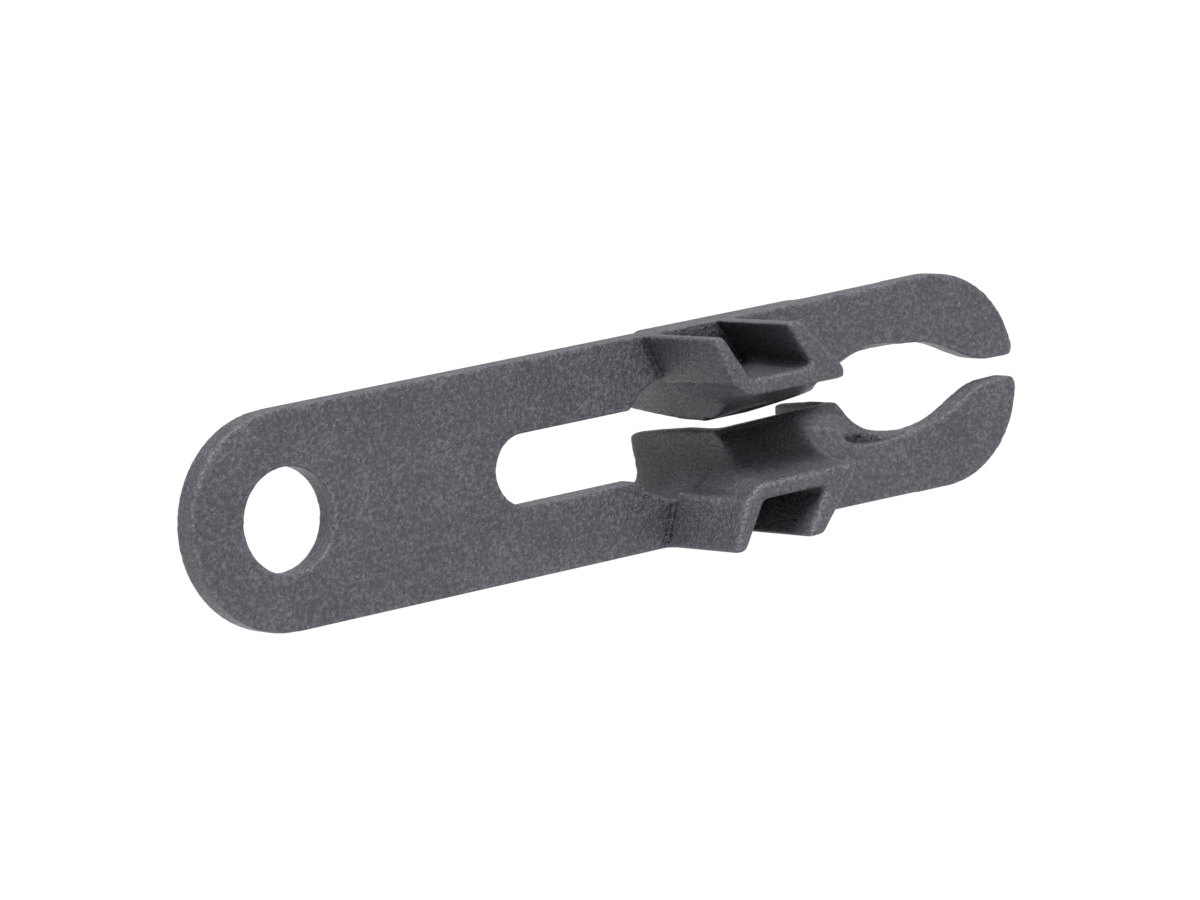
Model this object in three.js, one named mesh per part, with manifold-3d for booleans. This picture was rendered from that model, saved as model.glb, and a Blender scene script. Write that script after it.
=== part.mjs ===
// Spring clip for a thin line: one flat moulding with an eyelet at one end and two sprung arms at the other.
// The arms enclose a slot, a round seat, a narrow throat and a ring, and carry hollow lugs in front and behind.
// Millimetres. X runs from the eyelet towards the jaws, Z points to the upper arm, and the front faces -Y.
// The origin is the centre of the eyelet, in the middle of the plate's thickness. Every X below is measured from
// the centre of the plate's rounded end, and the finished pieces are moved so that the eyelet is at the origin.

import * as THREE from "three";
import { mergeVertices } from "three/addons/utils/BufferGeometryUtils.js";
import Module from "manifold-3d";

const wasm = await Module();
wasm.setup();

// Plate
const PLATE_WIDTH = 25.2;
const PLATE_THICKNESS = 3.2;
const HALF_WIDTH = PLATE_WIDTH / 2;
const FRONT = -PLATE_THICKNESS / 2;
const BACK = PLATE_THICKNESS / 2;
const EYELET_X = 0.5;
const EYELET_RADIUS = 6.05;
const SLOT_HALF_WIDTH = 4.2;
const SLOT_END_X = 33.6;

// Seat and throat
const SEAT_X = 55;
const SEAT_RADIUS = 7.1;
const THROAT_END_X = 82.3;
const THROAT_HALF_GAP = { upper: 1.0, lower: 0.5 };
const WALL_HALF_GAP = 0.5;

// Jaws: the inner edge of the ring as far as the lip, and the rounded outer end
const RING_EDGE = [
  [83.6, 2.9],
  [85.8, 4.4],
  [90.0, 5.2],
  [93.6, 4.95],
  [96.4, 4.1],
  [99.5, 2.6],
  [101.6, 1.7],
  [103.2, 1.35],
];
const LIP_HALF_GAP = 1.25;
const JAW_HALF_WIDTH = HALF_WIDTH + 0.25;
const JAW_START_X = 80;
const JAW_END_RADIUS = 12;
const JAW_END_X = 95.5;
const JAW_END_Z = JAW_HALF_WIDTH - JAW_END_RADIUS;
const LIP_ROUND = 0.8;

// Front lug: plan positions of its leaning walls where they meet the outer edge, the throat wall and the throat
const LUG_DEPTH = 13.4;
const FRONT_RIM = FRONT - LUG_DEPTH;
const THROAT_WALL_OUTER_Z = 7.05;
const LEFT_WALL_OUTSIDE = [
  [52.2, HALF_WIDTH],
  [54.6, 6.6],
  [61.9, WALL_HALF_GAP],
];
const LEFT_WALL_INSIDE = [
  [53.9, HALF_WIDTH],
  [57.3, THROAT_WALL_OUTER_Z],
];
const RIGHT_WALL_INSIDE = [
  [63.1, HALF_WIDTH],
  [66.5, THROAT_WALL_OUTER_Z],
];
const RIGHT_WALL_OUTSIDE = [
  [65.4, HALF_WIDTH],
  [76.2, WALL_HALF_GAP],
];
// [x, depth in front of the front face] of the lug's blunt end towards the ring, below the throat wall
const BLUNT_END = [
  [71.0, 14],
  [71.3, 7.5],
  [73.0, 3.6],
  [76.5, 0],
];

// Guide channel of each arm: at each X, [depth in front of the front face, height of the surface above the middle].
// The first entry is the ridge, the narrowest line of the throat. It runs deeper behind the upper arm.
const CHANNEL_START = [
  { x: 48, surface: [[-1.0, 0.6], [0.6, 1.6], [3, 3.1], [6, 4.2], [9, 4.8], [20, 5.35]] },
  { x: 60, surface: [[-1.2, 0.8], [0.5, 1.6], [3, 3.0], [6, 4.15], [9, 4.75], [20, 5.45]] },
];
const CHANNEL = {
  upper: [
    ...CHANNEL_START,
    { x: 68, surface: [[-3.0, 1.0], [-1.2, 1.5], [1.6, 2.7], [4.7, 3.9], [8.5, 4.6], [20, 5.6]] },
    { x: 75, surface: [[-4.8, 1.0], [-2.3, 1.5], [0.6, 2.5], [3.6, 3.6], [7.6, 4.4], [20, 6.0]] },
    { x: 82, surface: [[-7.6, 1.0], [-6.0, 2.0], [-4.0, 3.1], [-2.0, 4.3], [0.0, 5.5], [20, 7.0]] },
    { x: 88, surface: [[-9.6, 3.2], [-7.6, 3.9], [-5.2, 4.5], [-2.6, 5.15], [0.0, 5.75], [20, 7.6]] },
    { x: 97, surface: [[-9.6, 3.0], [-7.6, 3.2], [-5.2, 3.4], [-2.6, 3.6], [0.0, 3.85], [20, 5.2]] },
  ],
  lower: [
    ...CHANNEL_START,
    { x: 68, surface: [[-2.0, 0.85], [-0.8, 1.5], [1.6, 2.7], [4.7, 3.9], [8.5, 4.6], [20, 5.6]] },
    { x: 75, surface: [[-3.0, 0.6], [-1.4, 1.5], [0.9, 2.6], [3.6, 3.6], [7.6, 4.4], [20, 6.0]] },
    { x: 82, surface: [[-3.7, 0.4], [-2.8, 1.7], [-1.9, 3.0], [-1.0, 4.3], [0.0, 5.5], [20, 7.0]] },
    { x: 88, surface: [[-3.7, 4.7], [-2.8, 4.9], [-1.9, 5.15], [-1.0, 5.45], [0.0, 5.75], [20, 7.6]] },
    { x: 97, surface: [[-3.7, 3.4], [-2.8, 3.5], [-1.9, 3.6], [-1.0, 3.7], [0.0, 3.85], [20, 5.2]] },
  ],
};

// Rear block: its plan, the [y, z] profiles of its rim and of its edge along the throat, and its walls
const REAR_LEFT_X = 54.6;
const REAR_RIGHT_X = 78;
const REAR_RIM = 16.7;
const REAR_RIGHT_RIM = 13.4;
const REAR_PAD = BACK + 2;
const REAR_RIM_PROFILE = [
  [REAR_RIM, 2.2],
  [15.8, 3.6],
  [14.0, 5.0],
  [11.4, 6.7],
  [REAR_PAD, HALF_WIDTH],
];
const REAR_THROAT_PROFILE = [
  [6, WALL_HALF_GAP],
  [12, 1.0],
  [REAR_RIM, 1.5],
];
const REAR_CAVITY = { left: 64.3, right: 81.4, top: 5.2, web: 1.6 };
const REAR_POCKET = { left: 57.2, right: 78.6, lean: 3.4 };

// Division into nodes
const FLEXURE_START_X = 37;
const FLEXURE_END_X = 47;
const SEAT_END_X = SEAT_X + SEAT_RADIUS + 0.6;
const FAR = 200;
const ARC_STEPS = 48;

// A closed three.js geometry as a solid.
function solidOf(geometry) {
  geometry.deleteAttribute("normal");
  geometry.deleteAttribute("uv");
  const merged = mergeVertices(geometry, 1e-4);
  const mesh = new wasm.Mesh({
    numProp: 3,
    vertProperties: merged.attributes.position.array,
    triVerts: new Uint32Array(merged.index.array),
  });
  return new wasm.Manifold(mesh);
}

function extrusion(outline, depth) {
  const shape = new THREE.Shape(outline.map(([a, b]) => new THREE.Vector2(a, b)));
  return new THREE.ExtrudeGeometry(shape, { depth, bevelEnabled: false });
}

// A solid with an [x, z] outline, between two values of y.
function platePrism(outline, yFront, yBack) {
  const geometry = extrusion(outline, yBack - yFront);
  geometry.rotateX(Math.PI / 2);
  geometry.translate(0, yBack, 0);
  return solidOf(geometry);
}

// A solid with a [y, z] outline, between two values of x.
function sidePrism(outline, xFrom, xTo) {
  const geometry = extrusion(outline, xTo - xFrom);
  const turn = new THREE.Matrix4().makeBasis(
    new THREE.Vector3(0, 1, 0),
    new THREE.Vector3(0, 0, 1),
    new THREE.Vector3(1, 0, 0),
  );
  geometry.applyMatrix4(turn);
  geometry.translate(xFrom, 0, 0);
  return solidOf(geometry);
}

// A solid with an [x, y] outline, between two values of z.
function uprightPrism(outline, zFrom, zTo) {
  const geometry = extrusion(outline, zTo - zFrom);
  geometry.translate(0, 0, zFrom);
  return solidOf(geometry);
}

function block([xFrom, yFrom, zFrom], [xTo, yTo, zTo]) {
  const corners = [[xFrom, yFrom], [xTo, yFrom], [xTo, yTo], [xFrom, yTo]];
  return uprightPrism(corners, zFrom, zTo);
}

function arc(x, z, radius, fromAngle, toAngle, steps = ARC_STEPS) {
  const points = [];
  for (let i = 0; i <= steps; i++) {
    const angle = fromAngle + ((toAngle - fromAngle) * i) / steps;
    points.push([x + radius * Math.cos(angle), z + radius * Math.sin(angle)]);
  }
  return points;
}

function smoothThrough(points, steps) {
  const curve = new THREE.SplineCurve(points.map(([x, z]) => new THREE.Vector2(x, z)));
  return curve.getSpacedPoints(steps).map((p) => [p.x, p.y]);
}

// The solid that runs through closed, counterclockwise [y, z] sections of equal length, in order of x.
function loft(sections) {
  const count = sections[0].outline.length;
  const positions = sections.flatMap(({ x, outline }) => outline.flatMap(([y, z]) => [x, y, z]));
  const index = [];
  for (let s = 0; s + 1 < sections.length; s++) {
    for (let i = 0; i < count; i++) {
      const a = s * count + i;
      const b = s * count + ((i + 1) % count);
      index.push(a, b, b + count, a, b + count, a + count);
    }
  }
  const last = (sections.length - 1) * count;
  const cap = (s) =>
    THREE.ShapeUtils.triangulateShape(
      sections[s].outline.map(([y, z]) => new THREE.Vector2(y, z)),
      [],
    );
  cap(0).forEach(([a, b, c]) => index.push(a, c, b));
  cap(sections.length - 1).forEach(([a, b, c]) => index.push(last + a, last + b, last + c));
  const geometry = new THREE.BufferGeometry();
  geometry.setAttribute("position", new THREE.Float32BufferAttribute(positions, 3));
  geometry.setIndex(index);
  return solidOf(geometry);
}

// Blends the channel's sections so that its surface is smooth along the part.
function channelSections(rows) {
  const steps = 6;
  const depth = (row, i) => FRONT - row.surface[i][0];
  const sections = [];
  for (let s = 0; s + 1 < rows.length; s++) {
    const before = rows[Math.max(s - 1, 0)];
    const after = rows[Math.min(s + 2, rows.length - 1)];
    for (let k = 0; k < steps; k++) {
      const t = k / steps;
      const mix = (get) => {
        const [p0, p1, p2, p3] = [before, rows[s], rows[s + 1], after].map(get);
        const bend = (2 * p0 - 5 * p1 + 4 * p2 - p3) * t * t + (3 * p1 - p0 - 3 * p2 + p3) * t * t * t;
        return p1 + ((p2 - p0) * t + bend) / 2;
      };
      const edge = rows[s].surface.map((_, i) => [
        mix((row) => depth(row, i)),
        mix((row) => row.surface[i][1]),
      ]);
      sections.push({ x: mix((row) => row.x), edge });
    }
  }
  const end = rows[rows.length - 1];
  sections.push({ x: end.x, edge: end.surface.map(([, z], i) => [depth(end, i), z]) });
  return sections.map(({ x, edge }) => {
    const smooth = smoothThrough(edge, 28);
    const [yRidge] = edge[0];
    const [yFar] = edge[edge.length - 1];
    return { x, outline: [...smooth, [yFar, -HALF_WIDTH], [yRidge, -HALF_WIDTH]] };
  });
}

// Plan of one arm, from the end of the slot to the tip of the jaw, before the round seat is cut.
function armOutline(halfGap) {
  const tipX = JAW_END_X + JAW_END_RADIUS * Math.cos(Math.asin((LIP_HALF_GAP + LIP_ROUND) / JAW_END_RADIUS));
  const tipStart = Math.asin((LIP_HALF_GAP + LIP_ROUND - JAW_END_Z) / JAW_END_RADIUS);
  return [
    [FLEXURE_START_X, HALF_WIDTH],
    [FLEXURE_START_X, SLOT_HALF_WIDTH],
    [SEAT_X, SLOT_HALF_WIDTH],
    [SEAT_X, halfGap],
    ...smoothThrough([[THROAT_END_X, halfGap], ...RING_EDGE], 60),
    ...arc(tipX - LIP_ROUND, LIP_HALF_GAP + LIP_ROUND, LIP_ROUND, -Math.PI / 2, 0, 8),
    ...arc(JAW_END_X, JAW_END_Z, JAW_END_RADIUS, tipStart + 0.02, Math.PI / 2),
    [JAW_START_X, HALF_WIDTH + 0.1],
    [(JAW_START_X + SEAT_X) / 2, HALF_WIDTH],
  ];
}

function disc(x, z, radius, yFront, yBack) {
  return platePrism(arc(x, z, radius, 0, 2 * Math.PI, 2 * ARC_STEPS).slice(1), yFront, yBack);
}

function frontLug() {
  const outside = platePrism([...LEFT_WALL_OUTSIDE, ...[...RIGHT_WALL_OUTSIDE].reverse()], FRONT_RIM, FRONT);
  const [leftEdge, leftCorner] = LEFT_WALL_INSIDE;
  const [rightEdge, rightCorner] = RIGHT_WALL_INSIDE;
  const pocket = [
    [2 * leftEdge[0] - leftCorner[0], 2 * HALF_WIDTH - THROAT_WALL_OUTER_Z],
    leftCorner,
    rightCorner,
    [2 * rightEdge[0] - rightCorner[0], 2 * HALF_WIDTH - THROAT_WALL_OUTER_Z],
  ];
  const blunt = BLUNT_END.map(([x, depth]) => [x, FRONT - depth]);
  const beyond = uprightPrism([...blunt, [FAR, FRONT], [FAR, FRONT - 14]], 0, THROAT_WALL_OUTER_Z);
  return outside.subtract(platePrism(pocket, -FAR, FRONT)).subtract(beyond);
}

// The round seat runs on into the front lug, and fades into the left wall's flat face at the rim.
function frontSeat() {
  const [, [leftX, topZ], [rightX, bottomZ]] = LEFT_WALL_OUTSIDE;
  const radius = SEAT_RADIUS - 0.1;
  const seat = arc(SEAT_X, 0, radius, 0, Math.asin(topZ / radius), 12);
  const atPlate = [...seat, [SEAT_X, topZ], [SEAT_X, 0]];
  const atRim = [[leftX, topZ], [rightX, bottomZ], [rightX, 0], [leftX, 0]];
  return wasm.Manifold.hull([
    ...atPlate.map(([x, z]) => [x, 0, z]),
    ...atRim.map(([x, z]) => [x, FRONT_RIM - 1, z]),
  ]);
}

// The web between the channel and the rear cavity follows the ridge, the deepest line of the channel.
function rearCavity(rows) {
  const ridge = rows.map(({ x, surface }) => [x, FRONT - surface[0][0] + REAR_CAVITY.web]);
  const at = (x) => {
    const i = ridge.findIndex(([rowX]) => rowX >= x);
    const [[x0, y0], [x1, y1]] = [ridge[i - 1], ridge[i]];
    return y0 + ((y1 - y0) * (x - x0)) / (x1 - x0);
  };
  const { left, right, top } = REAR_CAVITY;
  const inner = ridge.filter(([x]) => x > left && x < right);
  const outline = [[left, at(left)], ...inner, [right, at(right)], [right, FAR], [left, FAR]];
  return uprightPrism(outline, -HALF_WIDTH, top);
}

function rearBlock(rows) {
  const plan = [
    [REAR_LEFT_X, HALF_WIDTH],
    [REAR_LEFT_X, WALL_HALF_GAP],
    [THROAT_END_X + 0.3, WALL_HALF_GAP],
    [THROAT_END_X + 1.2, 3.1],
    [THROAT_END_X + 2.3, 4.3],
    [REAR_RIGHT_X, HALF_WIDTH],
  ];
  const rim = [[-FAR, -HALF_WIDTH], [REAR_RIM, -HALF_WIDTH], ...REAR_RIM_PROFILE, [REAR_PAD, FAR], [-FAR, FAR]];
  const { left, right, lean } = REAR_POCKET;
  const pocket = [
    [left, THROAT_WALL_OUTER_Z],
    [right, THROAT_WALL_OUTER_Z],
    [right - lean, 2 * HALF_WIDTH],
    [left - lean, 2 * HALF_WIDTH],
  ];
  const throat = [...REAR_THROAT_PROFILE, [FAR, 1.5], [FAR, -HALF_WIDTH], [6, -HALF_WIDTH]];
  return platePrism(plan, BACK, REAR_RIM)
    .intersect(sidePrism(rim, 0, FAR))
    .subtract(sidePrism(throat, 0, FAR))
    .subtract(platePrism(pocket, REAR_PAD, FAR))
    .subtract(rearCavity(rows))
    .subtract(block([REAR_CAVITY.right, REAR_RIGHT_RIM, -FAR], [FAR, FAR, FAR]));
}

// One whole arm, above the middle: plate, lugs, seat and guide channel.
function armAbove(side) {
  const behind = disc(SEAT_X, 0, SEAT_RADIUS, FRONT, FAR);
  const channel = loft(channelSections(CHANNEL[side]));
  return platePrism(armOutline(THROAT_HALF_GAP[side]), FRONT, BACK)
    .add(frontLug())
    .add(rearBlock(CHANNEL[side]))
    .subtract(behind)
    .subtract(frontSeat())
    .subtract(channel);
}

function tangPlate() {
  const end = arc(0, 0, HALF_WIDTH, Math.PI / 2, 1.5 * Math.PI, 2 * ARC_STEPS);
  const slot = arc(SLOT_END_X, 0, SLOT_HALF_WIDTH, 1.5 * Math.PI, Math.PI / 2);
  const outline = [
    [FLEXURE_START_X, HALF_WIDTH],
    ...end,
    [FLEXURE_START_X, -HALF_WIDTH],
    [FLEXURE_START_X, -SLOT_HALF_WIDTH],
    ...slot,
    [FLEXURE_START_X, SLOT_HALF_WIDTH],
  ];
  return platePrism(outline, FRONT, BACK).subtract(disc(EYELET_X, 0, EYELET_RADIUS, -FAR, FAR));
}

// The region to the left of a leaning plan line, for parting the walls of a lug.
function leftOf([[xOuter, zOuter], [xInner, zInner]], yFrom, yTo) {
  const slope = (xOuter - xInner) / (zOuter - zInner);
  const x = (z) => xInner + slope * (z - zInner);
  return platePrism([[-FAR, 30], [-FAR, -10], [x(-10), -10], [x(30), 30]], yFrom, yTo);
}

function between(xFrom, xTo, yFrom, yTo) {
  return block([xFrom, yFrom, -FAR], [xTo, yTo, FAR]);
}

function armPieces(arm) {
  const front = arm.intersect(between(0, FAR, -FAR, FRONT));
  const rear = arm.intersect(between(0, FAR, BACK, FAR));
  const plate = (xFrom, xTo) => arm.intersect(between(xFrom, xTo, FRONT, BACK));
  const frontLeft = leftOf(LEFT_WALL_INSIDE, -FAR, FAR);
  const frontMiddle = leftOf(RIGHT_WALL_INSIDE, -FAR, FAR);
  const rearLeft = between(0, REAR_CAVITY.left, -FAR, FAR);
  const rearMiddle = between(0, REAR_CAVITY.right, -FAR, FAR);
  return {
    flexure: plate(FLEXURE_START_X, FLEXURE_END_X),
    seat_arm: plate(FLEXURE_END_X, SEAT_END_X),
    throat_bar: plate(SEAT_END_X, THROAT_END_X),
    jaw: plate(THROAT_END_X, FAR),
    front_left_wall: front.intersect(frontLeft),
    front_throat_wall: front.intersect(frontMiddle).subtract(frontLeft),
    front_right_wall: front.subtract(frontMiddle),
    rear_left_wall: rear.intersect(rearLeft),
    rear_web: rear.intersect(rearMiddle).subtract(rearLeft),
    rear_right_wall: rear.subtract(rearMiddle),
  };
}

function geometryOf(solid) {
  const mesh = solid.getMesh();
  const geometry = new THREE.BufferGeometry();
  geometry.setAttribute("position", new THREE.BufferAttribute(mesh.vertProperties, 3));
  geometry.setIndex(new THREE.BufferAttribute(mesh.triVerts, 1));
  return geometry;
}

const group = new THREE.Group();

function addPiece(name, solid) {
  const plastic = new THREE.MeshStandardMaterial({ color: 0x2e3034, roughness: 0.6 });
  const mesh = new THREE.Mesh(geometryOf(solid.translate([-EYELET_X, 0, 0])), plastic);
  mesh.name = name;
  group.add(mesh);
}

addPiece("tang_plate", tangPlate());
for (const side of ["upper", "lower"]) {
  for (const [name, solid] of Object.entries(armPieces(armAbove(side)))) {
    addPiece(side + "_" + name, side === "upper" ? solid : solid.mirror([0, 0, 1]));
  }
}

export default group;
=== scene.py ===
"""Looks of the line spring clip: one dark satin moulding with a fine grain and softly rounded edges.

Metres and degrees, in the row frame: X from the eyelet to the jaws, Z towards the upper arm, front at -Y.
"""

import math

import bmesh
import bpy
from mathutils import Matrix, Vector


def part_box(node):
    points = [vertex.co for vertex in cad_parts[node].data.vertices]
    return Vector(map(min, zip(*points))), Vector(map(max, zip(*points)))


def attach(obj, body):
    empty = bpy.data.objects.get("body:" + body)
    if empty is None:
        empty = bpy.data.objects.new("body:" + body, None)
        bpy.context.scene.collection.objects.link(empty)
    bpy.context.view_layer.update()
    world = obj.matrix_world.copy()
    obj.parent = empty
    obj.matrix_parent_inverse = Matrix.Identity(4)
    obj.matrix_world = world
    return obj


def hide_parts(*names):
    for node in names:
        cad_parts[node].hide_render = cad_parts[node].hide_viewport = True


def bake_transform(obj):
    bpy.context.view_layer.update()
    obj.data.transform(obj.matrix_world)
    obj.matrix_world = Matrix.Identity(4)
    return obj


MM = 0.001

# Moulded body: how each body's CAD nodes are named, the skin's resolution and how far its edges are rounded
PREFIXES = {"tang": "tang_", "upper_arm": "upper_", "lower_arm": "lower_"}
WELD_DISTANCE = 0.001 * MM
VOXEL = 0.2 * MM
SMOOTHING = 0.5
PLATE_ROUNDING_PASSES = 12
LUG_ROUNDING_PASSES = 60
LUG_FADE = 1.5 * MM
CURVATURE_BLUR_PASSES = 3

# Plastic: sizes of its three noises, and heights of the two that stand in relief
GRAIN_SIZE = 0.44 * MM
SPARKLE_SIZE = 0.24 * MM
CLOUD_SIZE = 7 * MM
GRAIN_HEIGHT = 0.22 * MM
SPARKLE_HEIGHT = 0.16 * MM
GRAIN_SHARE = 0.8
CLOUD_SHARE = 0.2
# Where along the tones edges get a painted highlight, and hollows and deep pockets painted shade, and how
# far
EDGE_HIGHLIGHT_CURVATURE = (0.1, 0.8)
EDGE_HIGHLIGHT_LIFT = 0.07
HOLLOW_SHADE_CURVATURE = (-0.8, -0.1)
HOLLOW_SHADE_DROP = 0.32
POCKET_REACH = 9 * MM
POCKET_OPENNESS = (0.15, 0.75)
POCKET_SHADE_DROP = 0.3
TONES = [
    (0.12, (0.006, 0.006, 0.008)),
    (0.30, (0.032, 0.034, 0.040)),
    (0.50, (0.058, 0.061, 0.071)),
    (0.70, (0.118, 0.123, 0.138)),
]
# The sparkle noise's middle range runs from the glossiest grain to the roughest
SPARKLE_RANGE = (0.35, 0.65)
GLOSSIEST = 0.24
ROUGHEST = 0.5
PLASTIC_IOR = 1.5

# Camera, aimed at a point near the middle of the clip
AIM = Vector((44.9, 0.0, 0.15)) * MM
CAMERA_DISTANCE = 0.7658
CAMERA_AZIMUTH = -36.0
CAMERA_ELEVATION = 7.97
CAMERA_ROLL = -6.42
LENS_MM = 197.85
SENSOR_MM = 36.0

# Studio: a pale floor, an even sky and one wide sun, high on the front left
FLOOR_Z = -0.09
FLOOR_HALF = 20.0
FLOOR_TONE = 0.62
FLOOR_ROUGHNESS = 0.9
SKY_STRENGTH = 0.55
SUN_DIRECTION = (0.25, 0.5, -1.0)
SUN_ANGLE = 30
SUN_STRENGTH = 4.2

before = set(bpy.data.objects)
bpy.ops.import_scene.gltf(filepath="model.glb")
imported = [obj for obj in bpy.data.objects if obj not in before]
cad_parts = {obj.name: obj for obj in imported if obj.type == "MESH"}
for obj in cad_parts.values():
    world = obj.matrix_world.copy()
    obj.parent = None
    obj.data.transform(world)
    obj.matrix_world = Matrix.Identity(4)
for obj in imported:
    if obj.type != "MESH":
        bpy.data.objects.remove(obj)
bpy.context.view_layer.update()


# ---------------------------------------------------------------- materials


class Graph:
    """A material's node tree, with short calls for the nodes that the plastic uses."""

    def __init__(self, name):
        self.material = bpy.data.materials.new(name)
        self.material.use_nodes = True
        self.nodes = self.material.node_tree.nodes
        self.shader = self.nodes["Principled BSDF"]
        self.coordinates = self.nodes.new("ShaderNodeTexCoord").outputs["Object"]

    def link(self, source, target):
        self.material.node_tree.links.new(source, target)

    def noise(self, size, detail=2.0, roughness=0.6):
        """Noise whose features are about size metres across, from 0 to 1."""
        node = self.nodes.new("ShaderNodeTexNoise")
        node.inputs["Scale"].default_value = 1.0 / size
        node.inputs["Detail"].default_value = detail
        node.inputs["Roughness"].default_value = roughness
        self.link(self.coordinates, node.inputs["Vector"])
        return node.outputs["Fac"]

    def attribute(self, name):
        node = self.nodes.new("ShaderNodeAttribute")
        node.attribute_name = name
        return node.outputs["Fac"]

    def openness(self, distance):
        """From 0 deep inside a pocket to 1 on an open face."""
        node = self.nodes.new("ShaderNodeAmbientOcclusion")
        node.inputs["Distance"].default_value = distance
        return node.outputs["AO"]

    def math(self, operation, a, b):
        node = self.nodes.new("ShaderNodeMath")
        node.operation = operation
        for socket, value in zip(node.inputs, (a, b)):
            if isinstance(value, (int, float)):
                socket.default_value = value
            else:
                self.link(value, socket)
        return node.outputs[0]

    def ramp(self, source, stops):
        """Maps source through (position, colour) stops."""
        node = self.nodes.new("ShaderNodeValToRGB")
        elements = node.color_ramp.elements
        while len(elements) < len(stops):
            elements.new(0.5)
        for element, (position, colour) in zip(elements, stops):
            element.position = position
            element.color = (*colour, 1.0)
        self.link(source, node.inputs["Fac"])
        return node.outputs["Color"]

    def spread(self, source, range_in, range_out):
        """Maps one range to another, and holds the ends beyond it."""
        node = self.nodes.new("ShaderNodeMapRange")
        for name, value in zip(("From Min", "From Max", "To Min", "To Max"), (*range_in, *range_out)):
            node.inputs[name].default_value = value
        self.link(source, node.inputs["Value"])
        return node.outputs["Result"]

    def bump(self, height, distance, normal=None):
        node = self.nodes.new("ShaderNodeBump")
        node.inputs["Distance"].default_value = distance
        node.inputs["Strength"].default_value = 1.0
        self.link(height, node.inputs["Height"])
        if normal is not None:
            self.link(normal, node.inputs["Normal"])
        return node.outputs["Normal"]


def moulded_plastic():
    """Anthracite plastic: mottled colour, painted shade in hollows and pockets, painted highlight on edges,
    and a spark-eroded grain.
    """
    graph = Graph("moulded_plastic")
    grain = graph.noise(GRAIN_SIZE)
    sparkle = graph.noise(SPARKLE_SIZE)
    cloud = graph.noise(CLOUD_SIZE, detail=4.0, roughness=0.5)
    mottled = graph.math(
        "ADD",
        graph.math("MULTIPLY", cloud, CLOUD_SHARE),
        graph.math("MULTIPLY", grain, GRAIN_SHARE),
    )
    curvature = graph.attribute("curvature")
    # Painted highlight: rounded edges are made paler
    edge = graph.spread(curvature, EDGE_HIGHLIGHT_CURVATURE, (0.0, EDGE_HIGHLIGHT_LIFT))
    # Painted shade: hollows and creases are made darker
    painted_hollow_shade = graph.spread(curvature, HOLLOW_SHADE_CURVATURE, (HOLLOW_SHADE_DROP, 0.0))
    # Painted shade: pockets are made darker where ambient occlusion finds them closed in
    pocket = graph.spread(graph.openness(POCKET_REACH), POCKET_OPENNESS, (POCKET_SHADE_DROP, 0.0))
    # dark holds the painted shade, the deeper of the two; tone adds the painted highlight to the mottled
    # colour and takes off the painted shade
    dark = graph.math("MAXIMUM", painted_hollow_shade, pocket)
    tone = graph.math("SUBTRACT", graph.math("ADD", mottled, edge), dark)
    graph.link(graph.ramp(tone, TONES), graph.shader.inputs["Base Color"])
    roughness = graph.spread(sparkle, SPARKLE_RANGE, (GLOSSIEST, ROUGHEST))
    graph.link(roughness, graph.shader.inputs["Roughness"])
    relief = graph.bump(grain, GRAIN_HEIGHT)
    fine_relief = graph.bump(sparkle, SPARKLE_HEIGHT, normal=relief)
    graph.link(fine_relief, graph.shader.inputs["Normal"])
    graph.shader.inputs["IOR"].default_value = PLASTIC_IOR
    return graph.material


def pale_floor():
    material = bpy.data.materials.new("pale_floor")
    material.use_nodes = True
    shader = material.node_tree.nodes["Principled BSDF"]
    shader.inputs["Base Color"].default_value = (FLOOR_TONE, FLOOR_TONE, FLOOR_TONE, 1.0)
    shader.inputs["Roughness"].default_value = FLOOR_ROUGHNESS
    return material


# ---------------------------------------------------------------- the moulding


def object_from(mesh, name):
    data = bpy.data.meshes.new(name)
    mesh.to_mesh(data)
    mesh.free()
    made = bpy.data.objects.new(name, data)
    bpy.context.scene.collection.objects.link(made)
    return made


def joined(nodes, name):
    """One object that holds copies of these CAD nodes' meshes."""
    merged = bmesh.new()
    for node in nodes:
        merged.from_mesh(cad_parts[node].data)
    bmesh.ops.remove_doubles(merged, verts=merged.verts, dist=WELD_DISTANCE)
    return object_from(merged, name)


def apply_modifiers(obj):
    """Replaces an object's mesh with the result of its modifiers."""
    evaluated = obj.evaluated_get(bpy.context.evaluated_depsgraph_get())
    data = bpy.data.meshes.new_from_object(evaluated)
    obj.modifiers.clear()
    obj.data = data


def add_smoothing(body, passes, group=""):
    smoothing = body.modifiers.new("smooth", "SMOOTH")
    smoothing.factor = SMOOTHING
    smoothing.iterations = passes
    smoothing.vertex_group = group


def mark_lugs(body):
    """Weights the skin in front of and behind the plate, where the edges are rounder."""
    lugs = body.vertex_groups.new(name="lugs")
    half_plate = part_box("tang_plate")[1][1] / MM
    for vertex in body.data.vertices:
        beyond = abs(vertex.co.y) - half_plate
        if beyond > 0:
            lugs.add([vertex.index], min(1.0, beyond / (LUG_FADE / MM)), "REPLACE")


def mark_curvature(body):
    """Stores the skin's curvature at each vertex, per mm: positive on rounded edges, negative in hollows."""
    skin = bmesh.new()
    skin.from_mesh(body.data)
    layer = skin.verts.layers.float.new("curvature")
    spacing = VOXEL / MM
    for vertex in skin.verts:
        neighbours = [edge.other_vert(vertex).co for edge in vertex.link_edges]
        middle = sum(neighbours, Vector()) / len(neighbours)
        vertex[layer] = (vertex.co - middle).dot(vertex.normal) * 4 / spacing**2
    for _ in range(CURVATURE_BLUR_PASSES):
        blurred = [
            sum(edge.other_vert(vertex)[layer] for edge in vertex.link_edges) / len(vertex.link_edges)
            for vertex in skin.verts
        ]
        for vertex, value in zip(skin.verts, blurred):
            vertex[layer] = value
    skin.to_mesh(body.data)
    skin.free()


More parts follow.
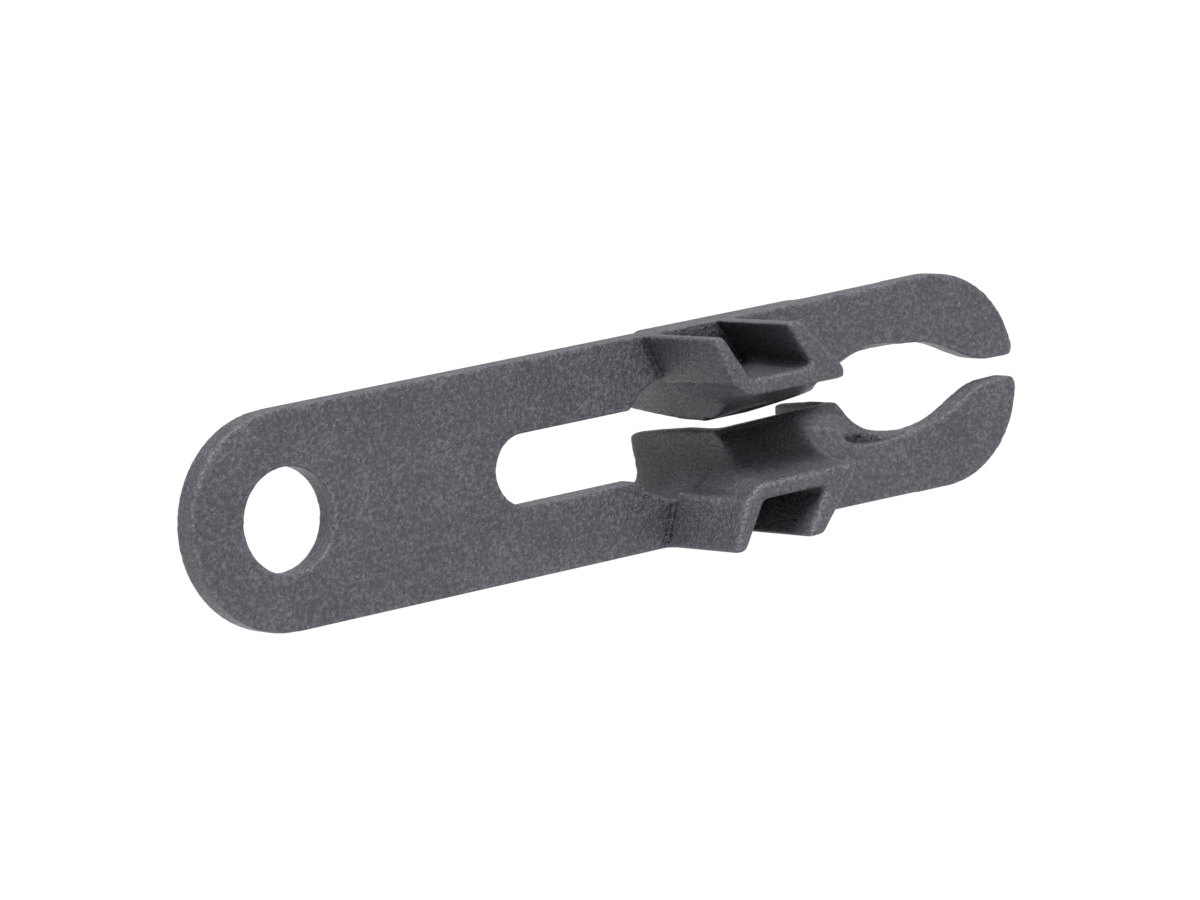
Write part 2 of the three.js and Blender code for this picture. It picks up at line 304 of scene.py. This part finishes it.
def moulded(nodes, name):
    """The nodes fused into one skin whose edges are rounded all round. It is worked on in mm."""
    body = joined(nodes, name)
    body.data.transform(Matrix.Scale(1 / MM, 4))
    remesh = body.modifiers.new("fuse", "REMESH")
    remesh.mode = "VOXEL"
    remesh.voxel_size = VOXEL / MM
    apply_modifiers(body)
    mark_lugs(body)
    add_smoothing(body, PLATE_ROUNDING_PASSES)
    add_smoothing(body, LUG_ROUNDING_PASSES, group="lugs")
    apply_modifiers(body)
    body.vertex_groups.clear()
    mark_curvature(body)
    body.data.transform(Matrix.Scale(MM, 4))
    return body


def cut_from(body, name, planes):
    """A copy of body, cut to what lies in front of each (point, normal) plane."""
    part = bmesh.new()
    part.from_mesh(body.data)
    for point, normal in planes:
        geometry = [*part.verts, *part.edges, *part.faces]
        bmesh.ops.bisect_plane(part, geom=geometry, plane_co=point, plane_no=normal, clear_inner=True)
    for face in part.faces:
        face.smooth = True
    return object_from(part, name)


def build_clip(material):
    """The clip as three pieces that meet where the arms leave the tang."""
    whole = moulded(list(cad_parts), "clip")
    (root_x, _, _), (bend_end_x, _, _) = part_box("upper_flexure")
    root = Vector((root_x, 0, 0))
    middle = Vector((0, 0, 0))
    right, up = Vector((1, 0, 0)), Vector((0, 0, 1))
    tang = cut_from(whole, "tang_skin", [(root, -right)])
    upper = cut_from(whole, "upper_arm_skin", [(root, right), (middle, up)])
    lower = cut_from(whole, "lower_arm_skin", [(root, right), (middle, -up)])
    bpy.data.objects.remove(whole)
    for piece, body in ((tang, "tang"), (upper, "upper_arm"), (lower, "lower_arm")):
        piece.data.materials.append(material)
        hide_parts(*[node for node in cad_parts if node.startswith(PREFIXES[body])])
    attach(tang, "tang")
    for piece, body in ((upper, "upper_arm"), (lower, "lower_arm")):
        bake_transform(piece)


# ---------------------------------------------------------------- studio


def add_floor():
    bpy.ops.mesh.primitive_plane_add(size=2 * FLOOR_HALF, location=(0, 0, FLOOR_Z))
    floor = bpy.context.object
    floor.name = "floor"
    floor.data.materials.append(pale_floor())


def add_sun():
    data = bpy.data.lights.new("overhead", "SUN")
    data.angle = math.radians(SUN_ANGLE)
    data.energy = SUN_STRENGTH
    light = bpy.data.objects.new("overhead", data)
    light.rotation_euler = Vector(SUN_DIRECTION).to_track_quat("-Z", "Y").to_euler()
    bpy.context.scene.collection.objects.link(light)


def add_sky():
    world = bpy.data.worlds.new("studio")
    world.use_nodes = True
    background = world.node_tree.nodes["Background"]
    background.inputs["Color"].default_value = (1.0, 1.0, 1.0, 1.0)
    background.inputs["Strength"].default_value = SKY_STRENGTH
    bpy.context.scene.world = world


def add_camera():
    azimuth, elevation, roll = (math.radians(a) for a in (CAMERA_AZIMUTH, CAMERA_ELEVATION, CAMERA_ROLL))
    forward = Vector(
        (
            -math.sin(azimuth) * math.cos(elevation),
            math.cos(azimuth) * math.cos(elevation),
            -math.sin(elevation),
        )
    )
    level = forward.cross(Vector((0, 0, 1))).normalized()
    upright = level.cross(forward)
    across = level * math.cos(roll) + upright * math.sin(roll)
    up = upright * math.cos(roll) - level * math.sin(roll)
    data = bpy.data.cameras.new("camera")
    data.lens = LENS_MM
    data.sensor_width = SENSOR_MM
    camera = bpy.data.objects.new("camera", data)
    turn = Matrix((across, up, -forward)).transposed().to_4x4()
    camera.matrix_world = Matrix.Translation(AIM - forward * CAMERA_DISTANCE) @ turn
    bpy.context.scene.collection.objects.link(camera)
    bpy.context.scene.camera = camera


bpy.context.scene.view_settings.view_transform = "Standard"
add_camera()
add_floor()
add_sky()
add_sun()
build_clip(moulded_plastic())
